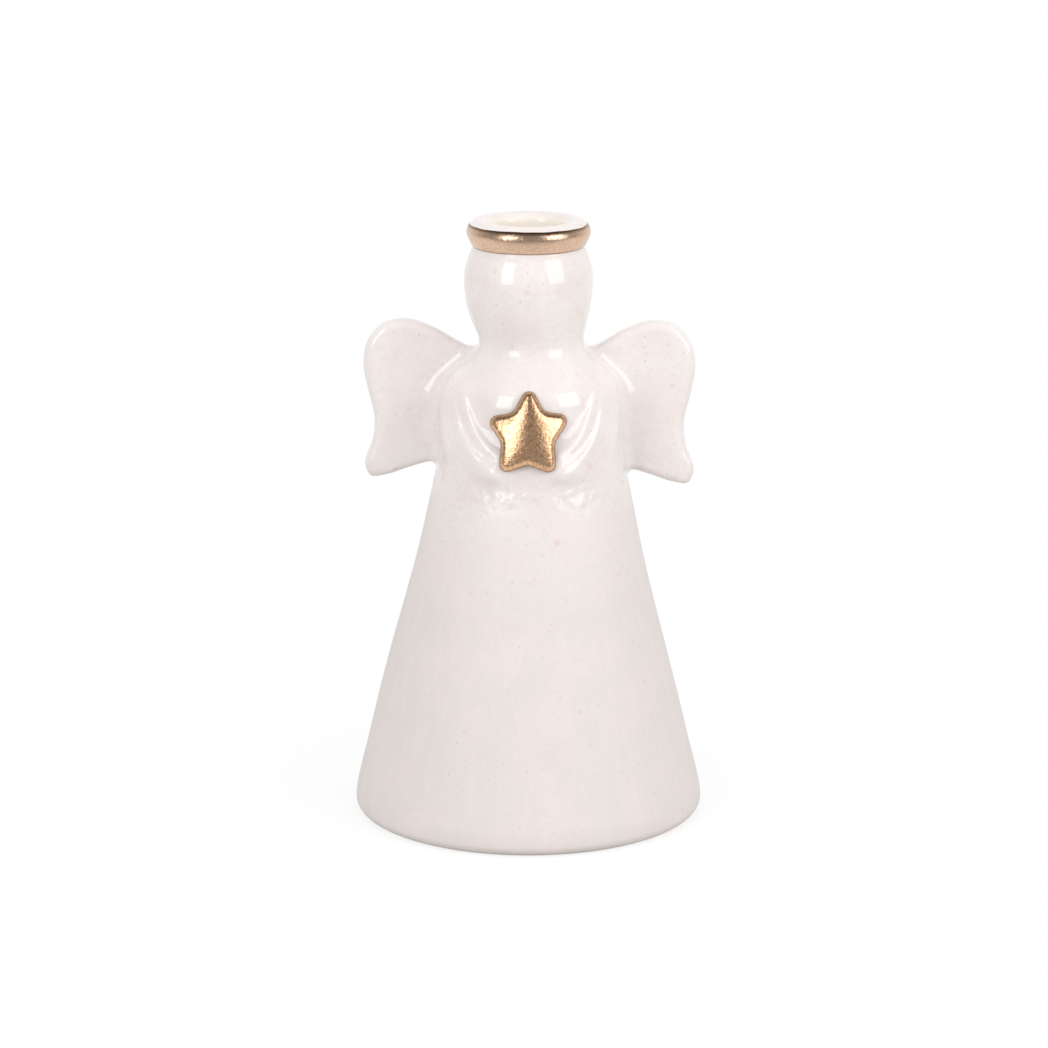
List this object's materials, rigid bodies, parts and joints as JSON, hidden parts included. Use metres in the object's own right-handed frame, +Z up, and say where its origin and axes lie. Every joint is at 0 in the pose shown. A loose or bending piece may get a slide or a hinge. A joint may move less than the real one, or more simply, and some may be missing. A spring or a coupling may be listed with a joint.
{
  "type": "angel candle holder",
  "caption": "Glazed ceramic angel with flaring robe, spread wings, gilt star and gilt halo rim; a socket in the top of its head holds one taper candle.",
  "frame": {"origin": "centre of the foot ring, on the plane that the foot stands on", "axes": "+Z up along the candle's axis, front with the star towards -Y, wings along X"},
  "size_m": [0.1044, 0.1044, 0.1787],
  "materials": {
    "glazed_stoneware": "cream gloss glaze with fine speckles, gold lustre on the halo rim and the star, bare foot ring",
    "gold_lustre": "satin gold lustre brushed over the glaze and fired on"
  },
  "bodies": {
    "root": {"angel_body": "glazed_stoneware"}
  },
  "joints": []
}
